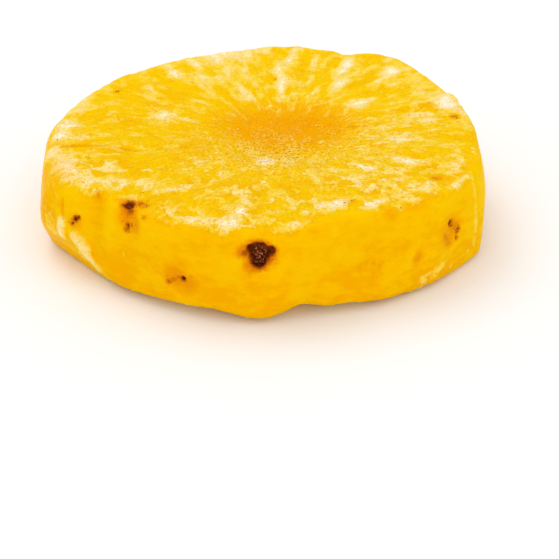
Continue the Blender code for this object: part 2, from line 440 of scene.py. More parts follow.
# %% Cracks
# From, to and half width
CRACKS = (
    ((-41.4, -7.4, 19.4), (-33.5, -6.6, 19.4), 0.26), ((-33.5, -6.6, 19.4), (-25.8, -8.0, 18.7), 0.2),
    ((-32.3, -26.0, 19.4), (-31.6, -29.2, 16.2), 0.2), ((16.6, 6.4, 17.4), (22.6, 5.2, 18.1), 0.16),
    ((-22.8, -33.6, 19.3), (-22.2, -31.0, 19.4), 0.2), ((-30.4, -8.6, 19.0), (-26.6, -9.8, 18.8), 0.16),
    ((-39.6, -24.4, 16.2), (-39.3, -25.8, 12.8), 0.3), ((-37.9, -26.5, 9.8), (-36.8, -26.4, 6.4), 0.3),
)
CRACK_MARGIN = 2.2  # how many times wider a crack is stored
crack = strongest((away_from_line(first, last), wide * CRACK_MARGIN, 1) for first, last, wide in CRACKS)
store(flesh.data, "crack", crack)
print("cracks:", len(CRACKS))

# %% [markdown]
# ### Blots and stains
#
# Each eye of the fruit leaves a dark blot with a brown stain round it. Where two of them overlap the
# stronger one wins, so a row of small spots can spell out one ragged shape.

# %% Places of the blots and stains
# Dark blots of the eyes: x, y, z, radius and darkness
BLOTS = (
    (-0.7, -43.9, 15.1, 2.5, 1.0), (1.3, -44.6, 15.8, 1.2, 0.95), (-0.9, -44.4, 13.6, 1.8, 1.0),
    (-2.3, -44.2, 15.9, 1.3, 0.8), (-3.5, -44.4, 15.2, 1.3, 0.5), (-25.7, -32.8, 19.5, 1.4, 0.95),
    (-25.5, -33.9, 18.5, 1.2, 0.5), (-23.5, -32.3, 19.4, 0.8, 0.5), (-22.4, -33.9, 19.4, 0.8, 0.4),
    (-26.0, -34.3, 15.7, 0.6, 0.7), (-25.2, -34.9, 16.0, 0.5, 0.55), (-26.5, -34.3, 14.7, 0.5, 0.6),
    (-25.8, -34.5, 14.8, 0.5, 0.5), (-22.6, -37.3, 19.0, 0.8, 0.3), (-36.8, -27.2, 13.2, 0.6, 0.85),
    (-37.4, -26.9, 12.2, 0.5, 0.7), (-36.0, -27.5, 13.8, 0.5, 0.75), (-15.3, -41.2, 7.9, 0.7, 0.85),
    (-17.1, -40.7, 7.4, 0.7, 0.4), (-18.2, -40.4, 6.8, 0.7, 0.5), (-16.3, -40.8, 8.1, 0.6, 0.4),
    (-13.7, -42.4, 9.0, 0.6, 0.25), (36.1, -26.4, 12.1, 0.7, 0.95), (37.9, -24.9, 10.8, 0.4, 0.5),
    (38.1, -25.1, 10.0, 0.5, 0.7), (37.7, -25.5, 9.5, 0.5, 0.5), (37.5, -25.8, 9.1, 0.4, 0.35),
    (37.6, -25.8, 8.3, 0.5, 0.6), (37.0, -25.9, 11.3, 1.0, 0.3), (35.0, -29.0, 10.2, 1.3, 0.3),
    (35.6, -28.0, 8.4, 0.9, 0.28),
)
# Stains of brown syrup round the eyes, and one wide spot of painted shade that darkens the left end: x, y,
# z, reach and strength
STAINS_AND_SHADE = (
    (-0.4, -44.0, 14.8, 3.7, 0.65), (-3.8, -44.4, 15.6, 1.6, 0.9), (-2.5, -44.9, 12.4, 1.7, 0.9),
    (0.6, -44.4, 17.2, 1.3, 0.4), (-25.4, -34.2, 17.5, 2.7, 1.0), (-26.0, -33.4, 18.9, 1.8, 1.0),
    (-24.4, -35.3, 16.6, 2.2, 1.0), (-23.4, -33.3, 19.2, 1.8, 0.8), (-26.4, -31.2, 19.5, 1.8, 0.5),
    (-37.0, -27.7, 12.9, 1.8, 0.7), (-16.6, -40.9, 8.4, 3.0, 0.85), (-14.2, -41.6, 7.4, 2.8, 0.7),
    (36.8, -26.2, 11.0, 2.0, 0.9), (35.6, -28.0, 9.4, 2.6, 0.65), (34.7, -29.4, 12.0, 1.6, 0.4),
    (29.6, -34.0, 8.4, 1.8, 0.7), (29.8, -33.8, 9.9, 0.9, 0.5), (29.3, -34.3, 6.4, 0.9, 0.45),
    (21.0, -38.9, 8.6, 2.6, 0.2), (18.3, -39.7, 9.9, 0.7, 0.5), (19.5, -39.1, 10.0, 0.7, 0.5),
    (20.8, -38.7, 9.8, 0.7, 0.5), (22.2, -38.4, 9.4, 0.8, 0.55), (18.2, -39.9, 9.0, 0.6, 0.45),
    (18.6, -39.8, 8.0, 0.6, 0.4), (20.7, -38.9, 8.0, 0.7, 0.35), (24.0, -35.1, 18.4, 1.8, 0.45),
    (39.5, 7.4, 19.2, 1.1, 0.9), (33.6, -21.4, 19.4, 1.4, 0.9), (-31.7, 20.3, 19.3, 0.9, 0.7),
    (16.5, -31.7, 19.4, 1.6, 0.45), (2.0, 28.1, 18.4, 0.8, 0.5), (-31.8, -27.4, 18.0, 1.3, 0.5),
    # On the next line, the wide first spot at the left end is painted shade that darkens that end.
    (-42.6, -17.5, 16.0, 7.5, 0.36), (-1.8, -35.6, 19.4, 1.1, 0.42), (-1.7, -38.4, 19.4, 1.1, 0.42),
    (-7.0, -28.4, 19.1, 0.9, 0.4),
)
print("blots:", len(BLOTS), "stains:", len(STAINS_AND_SHADE))

# %% [markdown]
# ### Blots for the far side
#
# Each eye of the far side gets a few blots, strewn at random round its middle, and one stain. The seed is
# fixed, so that every run gives the same fruit.

# %% Blots and stains
BLOTS_AN_EYE = 4
STREWN = 0.75  # how far the blots of an eye lie from its middle, for its size
FLATTER = 0.7  # they lie less far up and down than sideways
BLOT_SIZES = (0.4, 0.9)  # smallest and largest, for the eye's size
BLOT_TONES = (0.7, 1.0)  # palest and darkest, for the eye's darkness
STAIN_MARGIN = 1.3  # how far the stain reaches beyond the eye's size
STAIN_STRENGTH = 0.8
random = np.random.default_rng(5)
blots = list(BLOTS)
for x, y, z, size, darkness in far_eyes:
    for dx, dy, dz in random.normal(0, STREWN * size, (BLOTS_AN_EYE, 3)):
        reach = random.uniform(*BLOT_SIZES) * size
        blots.append((x + dx, y + dy, z + dz * FLATTER, reach, darkness * random.uniform(*BLOT_TONES)))
stains = list(STAINS_AND_SHADE) + [(*place, STAIN_MARGIN + size, STAIN_STRENGTH) for *place, size, _ in far_eyes]
blot = strongest((away_from(place), reach, darkness) for *place, reach, darkness in blots)
stain = strongest((away_from(place), reach, strength) for *place, reach, strength in stains)
store(flesh.data, "blot", blot)
store(flesh.data, "stain", stain)
print("with the far side:", len(blots), "blots,", len(stains), "stains")

# %% [markdown]
# ### How far it is to the edge
#
# Sugar dries on the cut faces, and the wall stays smooth and clear. A test of which way a face looks would
# draw that border as a straight step. Here the top edge is found first, a few degrees at a time, and each
# point stores its distance from it: above 0 on the face, below 0 on the wall. Noise can then push the
# border to and fro. The underside counts as a face too.

# %% The way inwards from the top edge
RIM_STEP = 3  # degrees
BORDER = 6.0  # how far from the edge the distance is stored
RIM_SLACK = 0.3  # what lies less than this below the rim still belongs to the face
HOLLOW_FROM = 1.5  # and so does what looks up, this far inside the rim or farther
# Where the smooth wall laps over the top edge, or the dry face hangs over the wall, when above 0:
# direction, half width in degrees, shift
LAPS = (
    (284, 4.5, -2.4), (290, 4, -2.2), (296, 3.5, -1.2), (265, 3, -1.6), (258, 2.5, 1.6), (225, 4, -0.8),
    (325, 4, 0.6), (337, 5, -1.2),
)
turns = np.arange(0, 360, RIM_STEP)
# The rounded shoulder between face and wall
shoulder = (upward > 0.55) & (upward < 0.85) & (TOP_EDGE - height < BORDER)


def along_rim(values):
    """The value at the top edge in each point's direction."""
    found = [np.median(values[shoulder & (np.abs(turned_from(at)) < RIM_STEP)]) for at in turns]
    return np.interp(direction, turns, found, period=360)


rim_radius, rim_height = along_rim(radius), along_rim(height)
hollow = (upward > 0.3) & (radius < rim_radius - HOLLOW_FROM)
on_top = (height > rim_height - RIM_SLACK) | hollow
inward = np.where(on_top, rim_radius - radius, height - rim_height)
for at, wide, shift in LAPS:
    inward += shift * spread(turned_from(at), wide)
inward = np.maximum(inward, -BORDER + 2 * BORDER * smooth_step(0.3, 0.9, -upward))
store(flesh.data, "inward", np.clip(inward, -BORDER, BORDER))
print("rim: radius", round(float(rim_radius.mean()), 1), "mm, height", round(float(rim_height.mean()), 1))

# %% [markdown]
# ### Core and crumbs
#
# The core turns amber, darkest a little behind its middle, and loose crumbs of sugar gather in front of
# that. Both are soft ovals.

# %% Core and crumbs
# To the right of the core's middle, behind it, and how many times narrower and shorter than round
AMBER_OVAL = (1.5, 4.5, 1.0, 1.5)
AMBER_FADE = (1.4, 0.3)  # where the amber starts and where it is full, in radii of the core
CRUMB_OVAL = (0.0, -7.0, 0.75, 1.0)
CRUMB_REACH = 11.0
STRAY_CRUMBS = 0.02  # share of the crumbs that lie anywhere on the top


def away_from_oval(right, behind, narrower, shorter):
    return np.hypot((along_x - CORE[0] - right) * narrower, (along_y - CORE[1] - behind) * shorter)


start, full = (CORE_RADIUS * part for part in AMBER_FADE)
core = smooth_step(start, full, away_from_oval(*AMBER_OVAL))
store(flesh.data, "core", core)
crumbs = STRAY_CRUMBS + (1 - STRAY_CRUMBS) * spread(away_from_oval(*CRUMB_OVAL), CRUMB_REACH)
grit = crumbs * (upward > 0.6) * (height > 10) * (stain < 0.2)
store(flesh.data, "grit", grit)
print("stored:", [a.name for a in flesh.data.attributes if a.data_type == "FLOAT"])

# %% [markdown]
# ## Rules shared by relief and colour
#
# Pineapple fibres run outwards from the core, so the noise that draws them is stretched along that way:
# its place is the direction from the core, which has no seam, and the distance. The bloom breaks up along
# the same lines.

# %% Fibres and the border of the face
FIBRE_START = 9.0  # added to the way out, so that the fibres don't all crowd into one point
FIBRE_SLANT = 0.15  # how the pattern drifts from the top to the underside
FRAY = ((0.3, 4.5), (1.3, 1.3))  # scale and size of the ripples that fray the border of the face
BORDER_FADE = (-0.9, 1.0)  # how soft the border itself is, about the edge


def fibre_place(bench, place, turns, length):
    """A place for noise that is stretched along the fibres: so many features a radian, one in a length."""
    x, y, z = bench.axes(place)
    x, y = x - CORE[0], y - CORE[1]
    out = (x * x + y * y).math("SQRT")
    reach = out + FIBRE_START
    return bench.vector(x / reach * turns, y / reach * turns, out / length + z * FIBRE_SLANT)


def fibre_ripple(bench, place, turns, length, detail=2.0, roughness=0.5):
    return bench.ripple(fibre_place(bench, place, turns, length), 1.0, detail, roughness)


def face_mask(bench, place, inward):
    """1 on the cut faces and 0 on the wall, with a ragged border along the edge."""
    broad, fine = (bench.ripple(place, scale) * size for scale, size in FRAY)
    return bench.ease(*BORDER_FADE, inward + (broad + fine))


print("the fibre pattern drifts by", round(TOP_EDGE * FIBRE_SLANT, 1), "of its cells down the wall")

# %% [markdown]
# ### How dry the surface is
#
# The stored bloom says where sugar dried, and where highlight is painted along the edges of the wall. Four
# ripples of falling size and two sizes of flakes break it up. The far side of the slice is streaked along
# the fibres, and the near side is mottled.

# %% Flakes and frost
# Each ripple's features a radian, length along the fibres, detail and roughness. Then its weight in the
# middle of the slice, and what the far side and the near side add to that.
RIPPLES = (
    ((12.0, 15.0, 2.0, 0.5), (1.1, 1.6, -0.7)), ((18.0, 4.5, 2.0, 0.5), (1.6, -0.4, -0.6)),
    ((30.0, 2.2, 2.0, 0.5), (1.3, -0.5, 0.1)), ((64.0, 1.2, 2.0, 0.6), (0.8, -0.3, 0.0)),
)
# The flakes' features a radian and length, and the same weights
FLAKES = (((20.0, 2.6), (0.7, -0.2, 0.5)), ((9.0, 6.0), (0.4, 0.0, 0.2)))
STIR_SCALE = 0.9  # scale of the noise that bends the flakes' edges
STIR = 1.8  # and how far it bends them


def flakes(bench, place, turns, length):
    """Sugar crust comes in flakes, each a little paler or clearer than the next, from -0.5 to 0.5."""
    place = fibre_place(bench, place, turns, length)
    stirred = bench.shifted(place, bench.scaled(bench.noise(place, STIR_SCALE, out="Color"), STIR))
    cell = bench.add("ShaderNodeTexVoronoi", {}, {"Vector": stirred, "Scale": 1.0}, out="Color")
    return bench.axes(cell)[0] - 0.5


def frost_level(bench, place, bloom, face, core):
    """How dry and pale the surface is: the stored bloom, broken up along the fibres."""
    depth = bench.axes(place)[1]
    far, near = bench.ease(6.0, 22.0, depth), bench.ease(-4.0, -22.0, depth)

    def weighted(pattern, middle, far_more, near_more):
        return pattern * (middle + far * far_more + near * near_more)

    rough = sum(weighted(fibre_ripple(bench, place, *shape), *weights) for shape, weights in RIPPLES)
    crisp = sum(weighted(flakes(bench, place, *shape), *weights) for shape, weights in FLAKES)
    wall = 1 - face
    mottle = bench.ripple(place, 1.1, 3.0, 0.6) * wall * bloom * 1.5
    dry = bloom + (rough + crisp) * (0.3 + face * 0.7) + mottle
    return dry - core * core * 0.35 - wall * 0.6


print("shared rules:", [rule.__name__ for rule in (fibre_ripple, face_mask, flakes, frost_level)])

# %% [markdown]
# ## Trees for meshes
#
# Every tree here starts with named inputs for its sizes and ends in Realize Instances and Set Material.
# An input is set by its socket's identifier, and the result becomes a plain mesh at once.

# %% Tree helpers
def start_tree(name, inputs):
    """A tree's bench, the mesh it is given, and its sizes by name."""
    tree = bpy.data.node_groups.new(name, "GeometryNodeTree")
    for way in ("INPUT", "OUTPUT"):
        tree.interface.new_socket("Geometry", in_out=way, socket_type="NodeSocketGeometry")
    for size in inputs:
        tree.interface.new_socket(size, in_out="INPUT", socket_type="NodeSocketFloat")
    bench = Bench(tree)
    given = tree.nodes.new("NodeGroupInput").outputs
    return bench, Reading(bench, given["Geometry"]), {size: Reading(bench, given[size]) for size in inputs}


def end_tree(bench, geometry, material):
    whole = bench.add("GeometryNodeRealizeInstances", {}, {"Geometry": geometry})
    finished = bench.add("GeometryNodeSetMaterial", {}, {"Geometry": whole, "Material": material})
    finished.feed(bench.tree.nodes.new("NodeGroupOutput").inputs["Geometry"])
    return bench.tree


def stored(bench, name):
    """A value that the mesh's points carry."""
    values = {"Name": name}
    return bench.add("GeometryNodeInputNamedAttribute", {"data_type": "FLOAT"}, values, out="Attribute")


def run_tree(piece, tree, sizes):
    """The piece as the tree leaves it."""
    modifier = piece.modifiers.new(tree.name, "NODES")
    modifier.node_group = tree
    for socket in tree.interface.items_tree:
        if socket.in_out == "INPUT" and socket.name in sizes:
            modifier[socket.identifier] = sizes[socket.name]
    return applied(piece)


print("helpers for trees:", [helper.__name__ for helper in (start_tree, end_tree, stored, run_tree)])

# %% [markdown]
# ## Relief
#
# Geometry Nodes push each point along its normal by a sum of small rises: broad lumps, lobes and furrows
# along the fibres, the crust of the bloom, and the ragged holes of the blots and cracks. The sizes are
# inputs of the tree. The underside stays flat where it rests.

# %% Relief
RELIEF = {"Lumps": 0.5, "Lobes": 0.9, "Fibres": 0.4, "Crust": 0.2, "Blot hole": 0.7, "Crack": 0.35}


def relief_tree(material):
    bench, shell, size = start_tree("Relief", RELIEF)
    position = bench.add("GeometryNodeInputPosition")
    place = bench.scaled(position, 1 / MM)
    face, core = face_mask(bench, place, stored(bench, "inward")), stored(bench, "core")
    crust = bench.ease(0.2, 0.9, frost_level(bench, place, stored(bench, "bloom"), face, core))
    lumps = bench.ripple(place, 0.16)
    lobes = fibre_ripple(bench, place, 4.5, 30.0, detail=1.0)
    fibres = fibre_ripple(bench, place, 24.0, 9.0)
    hole = bench.ease(0.2, 0.9, stored(bench, "blot") + bench.ripple(place, 1.6) * 0.6)
    rise = (
        lumps * size["Lumps"] + lobes * face * (1 - core) * size["Lobes"]
        + fibres * (1 - core * 0.6) * face * size["Fibres"] + crust * size["Crust"]
        - hole * size["Blot hole"] - stored(bench, "crack") * size["Crack"]
    )
    push = bench.scaled(bench.add("GeometryNodeInputNormal"), rise * MM)
    x, y, z = bench.axes(bench.shifted(position, push))
    grounded = bench.vector(x, y, z.math("MAXIMUM", 0.0))
    pushed = bench.add("GeometryNodeSetPosition", {}, {"Geometry": shell, "Position": grounded})
    return end_tree(bench, pushed, material)


candied = bpy.data.materials.new("sugared_flesh")  # its shader is filled in further down
run_tree(flesh, relief_tree(candied), RELIEF)
print("relief on", len(flesh.data.polygons), "faces, material:", [m.name for m in flesh.data.materials])

# %% [markdown]
# ## The candied flesh
#
# Syrup makes the flesh clear, so light soaks in and comes out again as a deep yellow: that is subsurface
# scattering, widest for red and almost nothing for blue. The colour itself is built in layers over the
# clear yellow: amber at the core, thin darker lines between the fibres, cream where sugar has dried, and
# brown at the eyes.

# %% Colours
def shade(red, green, blue):
    """A colour as read off a screen, 0 to 255, in the linear light that shaders take."""
    parts = (part / 255 for part in (red, green, blue))
    return (*(p / 12.92 if p < 0.04045 else ((p + 0.055) / 1.055) ** 2.4 for p in parts), 1.0)


GOLD = shade(249, 191, 1)
LEMON = shade(250, 198, 3)
HONEY = shade(244, 174, 0)
PALE = shade(252, 210, 66)
CREAM = shade(254, 221, 138)
MILK = shade(255, 239, 204)
AMBER = shade(244, 162, 0)
GRAIN = shade(252, 200, 40)
CRYSTAL = shade(254, 224, 112)
# Painted shade: the deep orange of the gaps between grains and of the cracks.
SHADE_ORANGE = shade(226, 142, 0)
TOFFEE = shade(236, 152, 3)
SCORCH = shade(222, 128, 10)
UMBER = shade(156, 66, 6)
BURNT = shade(66, 20, 8)
BARK = shade(116, 46, 14)
TAN = shade(200, 136, 84)
print("flesh from", [round(c, 2) for c in GOLD], "to", [round(c, 2) for c in MILK])

# %% [markdown]
# ### What the layers read
#
# A painted picture would blur close up, while masks that are worked out from places stay sharp. All that
# the masks share is gathered here once: where a point is, how dry, and how near to a mark.

# %% Readings of the surface
def shader_bench(material):
    """The material's bench and its main shader."""
    material.use_nodes = True
    return Bench(material.node_tree), material.node_tree.nodes["Principled BSDF"]


def object_place(bench):
    return bench.add("ShaderNodeTexCoord", {}, {}, out="Object")


def attribute(bench, name):
    return bench.add("ShaderNodeAttribute", {"attribute_name": name}, {}, out="Fac")


def surface(bench):
    """All that the layers of the flesh read at one point of it."""
    at = SimpleNamespace(place=bench.scaled(object_place(bench), 1 / MM))
    for name in ("bloom", "crack", "blot", "stain", "core"):
        setattr(at, name, attribute(bench, name))
    at.face = face_mask(bench, at.place, attribute(bench, "inward"))
    at.frost = frost_level(bench, at.place, at.bloom, at.face, at.core) - at.stain * 1.1
    at.depth, at.height = bench.axes(at.place)[1:]
    at.front = bench.ease(20.0, 4.0, at.depth)  # 1 up to the middle, 0 on the far side
    at.grain = bench.noise(at.place, 1.9, 1.0)
    at.gritty = at.face * attribute(bench, "grit")
    at.clusters = bench.ease(0.40, 0.60, bench.noise(at.place, 0.42))
    at.ragged = bench.ripple(at.place, 1.0, 3.0, 0.6)
    at.shredded = bench.ripple(at.place, 2.6, 2.0, 0.6)
    return at


flesh_bench, flesh_shader = shader_bench(candied)
spot = surface(flesh_bench)
print("a layer can read:", sorted(vars(spot)))

# %% [markdown]
# ### Clear flesh and sugar
#
# Each layer is one mix: a mask says where it lies, and a colour says what it is. They go on in the order
# in which the slice gets them in life, first the clear flesh and its veins, then the dry sugar from thin
# to thick, the amber of the core and the glitter of single grains. Painted shade goes in among them:
# towards the foot of the wall, in the gaps between grains and as a fine dimming of the face.

# %% Flesh and sugar
# How dry the surface is where each tone of sugar starts and where it is full
SUGAR = ((0.08, 0.58, PALE), (0.5, 1.1, CREAM), (1.2, 1.8, MILK))


def clear_flesh(bench, at):
    """Lemon on the face and gold on the wall, clouded with honey and veined between the fibres, with
    painted shade that makes the foot of the wall more honey.
    """
    flat = bench.add("ShaderNodeVectorMath", {"operation": "MULTIPLY"}, {0: at.place, 1: (1.0, 1.0, 2.2)})
    # Painted shade: the wall turns more honey towards its foot and more lemon towards its top edge. The
    # face turns a little more honey towards the near side.
    shade_tilt = at.depth * at.face * 0.0025 + (at.height - 12.0) * (1 - at.face) * 0.016
    cloud = bench.noise(flat, 0.10) + bench.ripple(flat, 0.35, 3.0, 0.6) * 0.8 - shade_tilt
    colour = bench.blend(at.face, GOLD, LEMON)
    colour = bench.blend(bench.ease(0.42, 0.75, cloud) * (1 - at.face * 0.5), colour, HONEY)
    colour = bench.blend(bench.ease(0.46, 0.22, cloud) * 0.8, colour, LEMON)
    veins = fibre_ripple(bench, at.place, 38.0, 9.0).math("ABSOLUTE")
    return bench.blend(bench.ease(0.04, 0.0, veins) * at.face * 0.6, colour, HONEY)


def sugared(bench, at, colour):
    """Dry sugar, the syrup of the core, bright crystals, painted shade in the gaps between them, and a
    fine painted dimming.
    """
    for start, full, tone in SUGAR:
        colour = bench.blend(bench.ease(start, full, at.frost), colour, tone)
    syrupy = at.core * (0.5 + bench.noise(at.place, 0.3)) * (1 - bench.ease(0.3, 0.9, at.frost))
    colour = bench.blend(syrupy, colour, AMBER)
    bright = bench.ease(0.50, 0.60, at.grain) * at.gritty * at.clusters
    colour = bench.blend(bright * 0.85, colour, CRYSTAL)
    # Painted shade: the gaps between crystals and flakes turn deep orange, most among the crumbs, on the
    # near side and in dry sugar.
    gaps = at.gritty * 0.8 + at.face * (0.04 + at.front * 0.18) + bench.ease(0.3, 1.0, at.frost) * 0.2
    colour = bench.blend(bench.ease(0.45, 0.36, at.grain) * gaps, colour, SHADE_ORANGE)
    # Painted shade: fine patches of the face are dimmed a little, as tiny shadows between grains and
    # flakes.
    shade_ripple = bench.ripple(at.place, 1.5, 3.0, 0.65)
    painted_shade = bench.ease(0.12, -0.2, shade_ripple) * (0.3 + at.face * (0.1 + at.clusters * 0.6)) * 0.09
    return bench.scaled(colour, 1 - painted_shade)


colour = sugared(flesh_bench, spot, clear_flesh(flesh_bench, spot))
print("flesh and sugar:", len(flesh_bench.tree.nodes), "nodes")

# %% [markdown]
# ### Marks
#
# The marks come last: painted shade in the cracks, brown syrup round the eyes with dark dots in it,
# painted shade in the same brown over the left end, and the eyes themselves, scorched at the rim and burnt
# in the middle, with tan cells of the dead flower showing.

# %% Marks
# The rings of an eye, inwards: where each starts and where it is full, its strength and its colour
RINGS = ((0.06, 0.36, 0.9, SCORCH), (0.30, 0.56, 0.95, UMBER))
BURNT_FROM = (0.50, 0.68)  # where the middle starts and where it is full


def marked(bench, at, colour):
    """Painted shade in the cracks, brown syrup round the eyes with painted shade over the left end, and
    the eyes.
    """
    crack = bench.ease(0.35, 0.8, at.crack + at.ragged * 0.7)
    # Painted shade: the cracks darken to deep orange.
    colour = bench.blend(crack * 0.4, colour, SHADE_ORANGE)
    # Brown syrup round the eyes, and painted shade in the same brown over the left end.
    stain = at.stain + at.ragged * 0.5
    colour = bench.blend(bench.ease(0.05, 0.8, stain) * 0.95, colour, TOFFEE)
    dots = bench.ease(0.10, 0.18, at.shredded) * bench.ease(0.35, 0.8, stain)
    colour = bench.blend(dots * 0.7, colour, UMBER)
    blot = at.blot + at.ragged * 0.35 + at.shredded * 0.2
    for start, full, strength, tone in RINGS:
        colour = bench.blend(bench.ease(start, full, blot) * strength, colour, tone)
    char = bench.blend(bench.ease(-0.08, 0.10, at.ragged), BURNT, BARK)
    cells = bench.ease(0.05, 0.11, at.shredded) * bench.ease(0.75, 0.95, at.blot)
    char = bench.blend(cells, char, TAN)
    return bench.blend(bench.ease(*BURNT_FROM, blot), colour, char)


marked(flesh_bench, spot, colour).feed(flesh_shader.inputs["Base Color"])
print("with its marks:", len(flesh_bench.tree.nodes), "nodes")

# %% [markdown]
# ### Gloss and glow
#
# Clear flesh is smooth and dry sugar is dull. A fine bump adds what is smaller than the mesh's squares:
# grains on the face and the crumbs of the bloom. What is the same all over is set on the shader itself.

# %% Gloss, bump and glow
CLEAR_ROUGH = 0.24  # roughness of clear flesh
FACE_ROUGH = 0.16  # added on the face
DRY_ROUGH = 0.35  # and added where sugar dried


def preset(node, values):
    """Values set on a node's own sockets, the same everywhere."""
    for name, value in values.items():
        node.inputs[name].default_value = value


def roughened(bench, at, shader):
    """Roughness and bump."""
    dry = bench.ease(0.2, 1.0, at.frost)
    rough = CLEAR_ROUGH + at.face * FACE_ROUGH + dry * DRY_ROUGH
    rough.feed(shader.inputs["Roughness"])
    crumbly = bench.noise(at.place, 1.2, 3.0) * at.face
    rise = at.grain * (at.gritty + at.face * 0.4) + dry * 0.4 + crumbly * 0.9
    values = {"Strength": 0.55, "Distance": 0.4 * MM, "Height": rise * (0.6 + at.front * 0.5)}
    bench.add("ShaderNodeBump", {}, values).feed(shader.inputs["Normal"])


roughened(flesh_bench, spot, flesh_shader)
preset(flesh_shader, {
    "Subsurface Weight": 0.6,
    "Subsurface Radius": (1.0, 0.45, 0.04),
    "Subsurface Scale": 3 * MM,
    "Specular IOR Level": 0.003,
    "Specular Tint": shade(255, 214, 60),
})
print("flesh shader:", len(flesh_bench.tree.nodes), "nodes")

# %% [markdown]
# ## Things strewn about
#
# Grains and shreds are far too many to place by hand. Geometry Nodes put one small shape on every spot,
# and numbers drawn at random, each with a seed of its own, turn and size it.

# %% Strewing
FULL_TURN = 6.28  # in radians


def chance(bench, low, high, seed):
    """A random number between two numbers, or a random vector between two vectors.

    The node has sockets for both kinds, and those for a number end in _001.
    """
    kind, end = ("FLOAT_VECTOR", "") if isinstance(low, tuple) else ("FLOAT", "_001")
    values = {"Min" + end: low, "Max" + end: high, "Seed": seed}
    return bench.add("FunctionNodeRandomValue", {"data_type": kind}, values, out="Value" + end)


def strewn(bench, spots, shape, turn, scale):
    """The shape on every spot, turned and scaled."""
    values = {"Points": spots, "Instance": shape, "Rotation": turn, "Scale": scale}
    return bench.add("GeometryNodeInstanceOnPoints", {}, values)


print("helpers for strewing:", [helper.__name__ for helper in (chance, strewn)])

# %% [markdown]
# ## Grains of sugar
#
# Loose sugar clings to the near half of the core, and a few grains to the rest of the top. Each grain is
# a small cube, a crystal's own shape. They could be painted as dots, but real cubes catch the light and
# stand out from the edge. Realized, they are plain geometry in one piece.

# %% Sugar grains
GRAINS = {"Per square metre": 2.4e6, "Smallest": 0.12 * MM, "Largest": 0.32 * MM}
CUBE_FACES = 6
LEAN = 0.4  # how far a grain leans, in radians


def grain_tree(material):
    bench, shell, size = start_tree("Grains", GRAINS)
    clusters = bench.ease(0.42, 0.64, bench.noise(bench.add("GeometryNodeInputPosition"), 420.0))
    density = stored(bench, "grit") * clusters * size["Per square metre"]
    values = {"Mesh": shell, "Density": density, "Seed": 7}
    spots = bench.add("GeometryNodeDistributePointsOnFaces", {}, values)
    crystal = bench.add("GeometryNodeMeshCube", {}, {"Size": (1.0, 1.0, 1.0)})
    turn = chance(bench, (-LEAN, -LEAN, 0.0), (LEAN, LEAN, FULL_TURN), seed=5)
    placed = strewn(bench, spots, crystal, turn, chance(bench, size["Smallest"], size["Largest"], seed=3))
    settings = {"data_type": "FLOAT", "domain": "INSTANCE"}
    values = {"Geometry": placed, "Name": "tone", "Value": chance(bench, 0.0, 1.0, seed=9)}
    toned = bench.add("GeometryNodeStoreNamedAttribute", settings, values)
    return end_tree(bench, toned, material)


def grain_material():
    material = bpy.data.materials.new("sugar_grain")
    bench, shader = shader_bench(material)
    colour = bench.blend(bench.ease(0.3, 1.0, attribute(bench, "tone")), GRAIN, CRYSTAL)
    colour.feed(shader.inputs["Base Color"])
    preset(shader, {"Roughness": 0.5, "Specular IOR Level": 0.02})
    return material


grains = linked("sugar_grains", flesh.data.copy())
run_tree(grains, grain_tree(grain_material()), GRAINS)
grains.data.shade_flat()
print("grains:", len(grains.data.polygons) // CUBE_FACES)

# %% [markdown]
# ## Shreds in the eyes
#
# An eye is the base of a withered flower, and dark woody shreds of it stay behind in the pit. Each mark
# on the slice gets its own number of shreds. A mesh of loose points holds their places, each snapped to
# the surface as the relief left it.

# %% Places of the shreds
# Brown shreds: x, y, z, how far they lie apart, how many and their size
SHREDS = (
    (-0.6, -43.8, 14.6, 1.8, 34, 0.36), (-25.8, -32.9, 19.3, 0.9, 14, 0.4),
    (-25.6, -34.0, 17.2, 1.0, 3, 0.3), (-25.8, -34.5, 15.3, 0.8, 9, 0.32),
    (-23.3, -32.9, 19.4, 1.3, 9, 0.32), (-23.7, -28.0, 19.5, 0.4, 5, 0.35),
    (-22.5, -37.0, 19.0, 0.6, 2, 0.3), (-36.8, -27.3, 13.0, 1.1, 14, 0.4),
    (-15.5, -41.2, 8.0, 0.6, 8, 0.35), (-18.0, -40.5, 7.1, 1.2, 9, 0.28),
    (36.1, -26.6, 11.9, 0.6, 7, 0.4), (37.8, -25.4, 9.5, 0.9, 12, 0.3),
    (35.8, -27.6, 9.4, 1.7, 7, 0.22), (25.7, -33.8, 19.2, 0.3, 2, 0.3),
    (16.4, -31.7, 19.4, 1.2, 4, 0.3), (-31.7, 20.3, 19.3, 0.4, 6, 0.35),
    (39.5, 7.4, 19.2, 0.6, 9, 0.35), (-42.2, -4.3, 19.2, 0.3, 2, 0.3),
    (33.6, -21.4, 19.4, 0.9, 4, 0.25), (2.0, 28.1, 18.4, 0.3, 2, 0.3),
)
FAR_SHREDS = 14  # in an eye of the far side that is quite dark
FAR_SIZE = 0.35  # and their size
CLOSER = 0.55  # share of the distance apart within which most shreds of a mark lie
SHRED_SIZES = (0.5, 1.1)  # smallest and largest, for the mark's size


def shred_points():
    """Loose points strewn round every mark, with the size of each shred."""
    random = np.random.default_rng(11)
    places, sizes = [], []
    far = [(*p, 0.4 + size * 0.7, int(FAR_SHREDS * darkness), FAR_SIZE) for *p, size, darkness in far_eyes]
    for x, y, z, apart, count, size in list(SHREDS) + far:
        for step in random.normal(0, apart * CLOSER, (count, 3)):
            places.append(points[np.argmin(away_from(np.add((x, y, z), step)))] * MM)
            sizes.append(size * random.uniform(*SHRED_SIZES) * MM)
    mesh = bpy.data.meshes.new("shred_points")
    mesh.from_pydata(places, [], [])
    store(mesh, "size", sizes)
    return mesh


